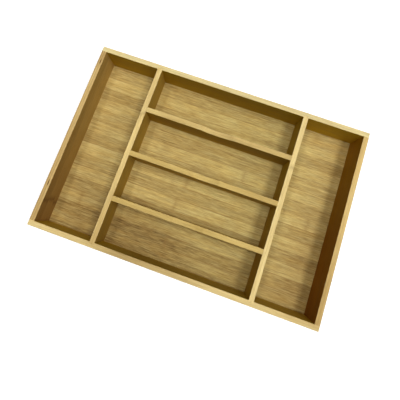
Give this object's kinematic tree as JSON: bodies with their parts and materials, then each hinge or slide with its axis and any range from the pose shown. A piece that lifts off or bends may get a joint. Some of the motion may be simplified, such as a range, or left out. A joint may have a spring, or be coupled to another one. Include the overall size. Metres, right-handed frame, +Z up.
{
  "type": "cutlery tray",
  "caption": "Rectangular bamboo drawer tray: a long compartment at each side and a row of short ones between, with finger scoops in the cross dividers.",
  "frame": {"origin": "middle of the underside, on the surface that the tray stands on", "axes": "+X along the tray's length, +Y from the front to the rear, +Z up"},
  "size_m": [0.445, 0.3, 0.06],
  "materials": {
    "rail_bamboo": "satin lacquer",
    "divider_bamboo": "satin lacquer",
    "panel_bamboo": "satin lacquer",
    "brad_steel": "plain"
  },
  "bodies": {
    "root": {"front_rail": "rail_bamboo", "rear_rail": "rail_bamboo", "left_rail": "rail_bamboo", "right_rail": "rail_bamboo", "left_divider": "divider_bamboo", "right_divider": "divider_bamboo", "cross_divider_1": "divider_bamboo", "cross_divider_2": "divider_bamboo", "cross_divider_3": "divider_bamboo", "base_panel": "panel_bamboo", "corner_brads": "brad_steel", "divider_brads": "brad_steel"}
  },
  "joints": []
}
